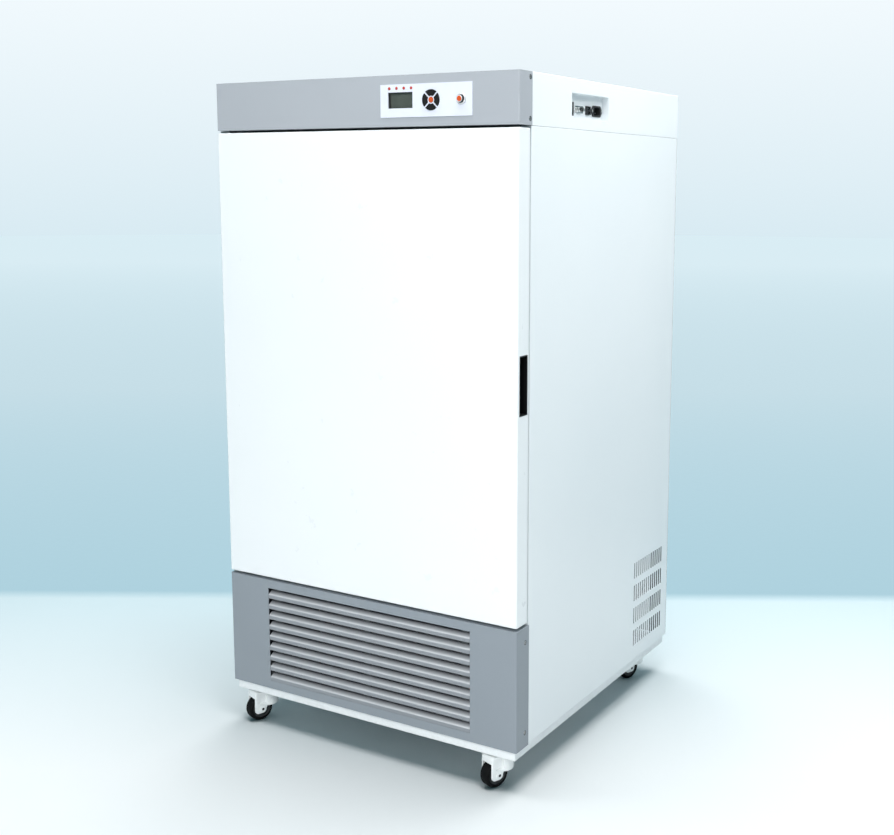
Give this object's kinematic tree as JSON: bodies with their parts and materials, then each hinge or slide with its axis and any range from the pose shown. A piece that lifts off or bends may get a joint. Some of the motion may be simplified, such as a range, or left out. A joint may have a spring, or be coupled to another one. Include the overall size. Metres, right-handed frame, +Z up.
{
  "type": "refrigerated incubator",
  "caption": "Floor-standing refrigerated laboratory incubator on casters: insulated chamber with wire shelves, one side-hinged door, control panel on top and an air grille below.",
  "frame": {"origin": "on the floor, under the centre of the object's bounding box", "axes": "+Z up, the door and control panel face -Y, the connector pocket and the door's grip are on the +X side, the door hinges are on the -X side"},
  "size_m": [0.65, 0.6734, 1.244],
  "materials": {
    "white_paint": "semi-gloss powder coat",
    "grey_paint": "satin metallic grey paint",
    "stainless_steel": "satin stainless steel",
    "zinc_plate": "zinc-plated steel",
    "nickel_shell": "nickel-plated connector shell",
    "aluminium_fins": "plain aluminium fins",
    "foam": "rigid foam",
    "pale_plastic": "pale moulded plastic",
    "label_white": "matt film overlay",
    "lcd_glass": "dark display behind a clear window",
    "red_lens": "red lamp lens",
    "orange_cap": "orange push-button cap",
    "black_plastic": "black moulded plastic",
    "black_enamel": "black enamel",
    "board_green": "circuit board",
    "soft_seal": "soft grey-white seal",
    "caster_white": "white moulded caster body",
    "tyre_black": "black wheel"
  },
  "bodies": {
    "cabinet": {"base_tray": "white_paint", "side_panel_left": "white_paint", "side_panel_right": "white_paint", "rear_panel": "white_paint", "top_cover": "white_paint", "connector_pocket": "white_paint", "upper_fascia": "grey_paint", "lower_fascia": "grey_paint", "air_grille": "grey_paint", "lower_deck": "zinc_plate", "upper_deck": "zinc_plate", "insulation": "foam", "inner_liner": "stainless_steel", "front_frame": "pale_plastic", "shelf_lower": "stainless_steel", "shelf_upper": "stainless_steel", "duct_panel": "stainless_steel", "evaporator": "aluminium_fins", "temperature_probe": "stainless_steel", "circulation_fan_motor": "black_plastic", "condenser": "aluminium_fins", "condenser_fan_motor": "black_plastic", "compressor": "black_enamel", "control_plate": "label_white", "lcd_module": "lcd_glass", "indicator_lamps": "red_lens", "power_bezel": "black_plastic", "controller_board": "board_green", "switch_bezel": "black_plastic", "serial_port": "nickel_shell", "signal_socket": "black_plastic", "mains_inlet": "black_plastic", "hinge_bracket_top": "zinc_plate", "hinge_bracket_bottom": "zinc_plate", "caster_front_left_mount": "zinc_plate", "caster_front_right_mount": "zinc_plate", "caster_rear_left_mount": "zinc_plate", "caster_rear_right_mount": "zinc_plate"},
    "door": {"door_skin": "white_paint", "door_foam": "foam", "door_liner": "pale_plastic", "door_gasket": "soft_seal", "handle_grip": "black_plastic"},
    "key_up": {"key_up": "black_plastic"},
    "key_down": {"key_down": "black_plastic"},
    "key_left": {"key_left": "black_plastic"},
    "key_right": {"key_right": "black_plastic"},
    "key_ok": {"key_ok": "orange_cap"},
    "power_button": {"power_button": "orange_cap"},
    "side_rocker": {"side_rocker": "black_plastic"},
    "circulation_fan": {"circulation_fan_blade": "black_plastic"},
    "condenser_fan": {"condenser_fan_blade": "black_plastic"},
    "caster_front_left": {"caster_front_left_fork": "caster_white"},
    "caster_front_right": {"caster_front_right_fork": "caster_white"},
    "caster_rear_left": {"caster_rear_left_fork": "caster_white"},
    "caster_rear_right": {"caster_rear_right_fork": "caster_white"},
    "wheel_front_left": {"caster_front_left_wheel": "tyre_black"},
    "wheel_front_right": {"caster_front_right_wheel": "tyre_black"},
    "wheel_rear_left": {"caster_rear_left_wheel": "tyre_black"},
    "wheel_rear_right": {"caster_rear_right_wheel": "tyre_black"}
  },
  "joints": [
    {"name": "door_hinge", "type": "hinge", "parent": "cabinet", "child": "door", "pos_m": [-0.312, -0.31035, 0.731], "axis": [0, 0, -1], "range_deg": [0, 115]},
    {"name": "key_up_press", "type": "slide", "parent": "cabinet", "child": "key_up", "axis": [0, 1, 0], "range_m": [0, 0.0008], "stiffness_N_per_m": 900},
    {"name": "key_down_press", "type": "slide", "parent": "cabinet", "child": "key_down", "axis": [0, 1, 0], "range_m": [0, 0.0008], "stiffness_N_per_m": 900},
    {"name": "key_left_press", "type": "slide", "parent": "cabinet", "child": "key_left", "axis": [0, 1, 0], "range_m": [0, 0.0008], "stiffness_N_per_m": 900},
    {"name": "key_right_press", "type": "slide", "parent": "cabinet", "child": "key_right", "axis": [0, 1, 0], "range_m": [0, 0.0008], "stiffness_N_per_m": 900},
    {"name": "key_ok_press", "type": "slide", "parent": "cabinet", "child": "key_ok", "axis": [0, 1, 0], "range_m": [0, 0.0008], "stiffness_N_per_m": 900},
    {"name": "power_press", "type": "slide", "parent": "cabinet", "child": "power_button", "axis": [0, 1, 0], "range_m": [0, 0.0025], "stiffness_N_per_m": 900},
    {"name": "side_rocker_tilt", "type": "hinge", "parent": "cabinet", "child": "side_rocker", "pos_m": [0.3068, -0.11885, 1.194], "axis": [0, -1, 0], "range_deg": [0, 24]},
    {"name": "circulation_fan_spin", "type": "hinge", "parent": "cabinet", "child": "circulation_fan", "pos_m": [0, 0.17, 0.9835], "axis": [0, 1, 0], "continuous": true},
    {"name": "condenser_fan_spin", "type": "hinge", "parent": "cabinet", "child": "condenser_fan", "pos_m": [0, -0.19, 0.1543], "axis": [0, 1, 0], "continuous": true},
    {"name": "caster_front_left_swivel", "type": "hinge", "parent": "cabinet", "child": "caster_front_left", "pos_m": [-0.274, -0.29035, 0.06], "axis": [0, 0, 1], "continuous": true},
    {"name": "caster_front_right_swivel", "type": "hinge", "parent": "cabinet", "child": "caster_front_right", "pos_m": [0.274, -0.29035, 0.06], "axis": [0, 0, 1], "continuous": true},
    {"name": "caster_rear_left_swivel", "type": "hinge", "parent": "cabinet", "child": "caster_rear_left", "pos_m": [-0.274, 0.27265, 0.06], "axis": [0, 0, 1], "continuous": true},
    {"name": "caster_rear_right_swivel", "type": "hinge", "parent": "cabinet", "child": "caster_rear_right", "pos_m": [0.274, 0.27265, 0.06], "axis": [0, 0, 1], "continuous": true},
    {"name": "wheel_front_left_spin", "type": "hinge", "parent": "caster_front_left", "child": "wheel_front_left", "pos_m": [-0.28045, -0.30715, 0.025], "axis": [0.9336, -0.3584, 0], "continuous": true},
    {"name": "wheel_front_right_spin", "type": "hinge", "parent": "caster_front_right", "child": "wheel_front_right", "pos_m": [0.26755, -0.30715, 0.025], "axis": [0.9336, -0.3584, 0], "continuous": true},
    {"name": "wheel_rear_left_spin", "type": "hinge", "parent": "caster_rear_left", "child": "wheel_rear_left", "pos_m": [-0.28045, 0.25585, 0.025], "axis": [0.9336, -0.3584, 0], "continuous": true},
    {"name": "wheel_rear_right_spin", "type": "hinge", "parent": "caster_rear_right", "child": "wheel_rear_right", "pos_m": [0.26755, 0.25585, 0.025], "axis": [0.9336, -0.3584, 0], "continuous": true}
  ]
}
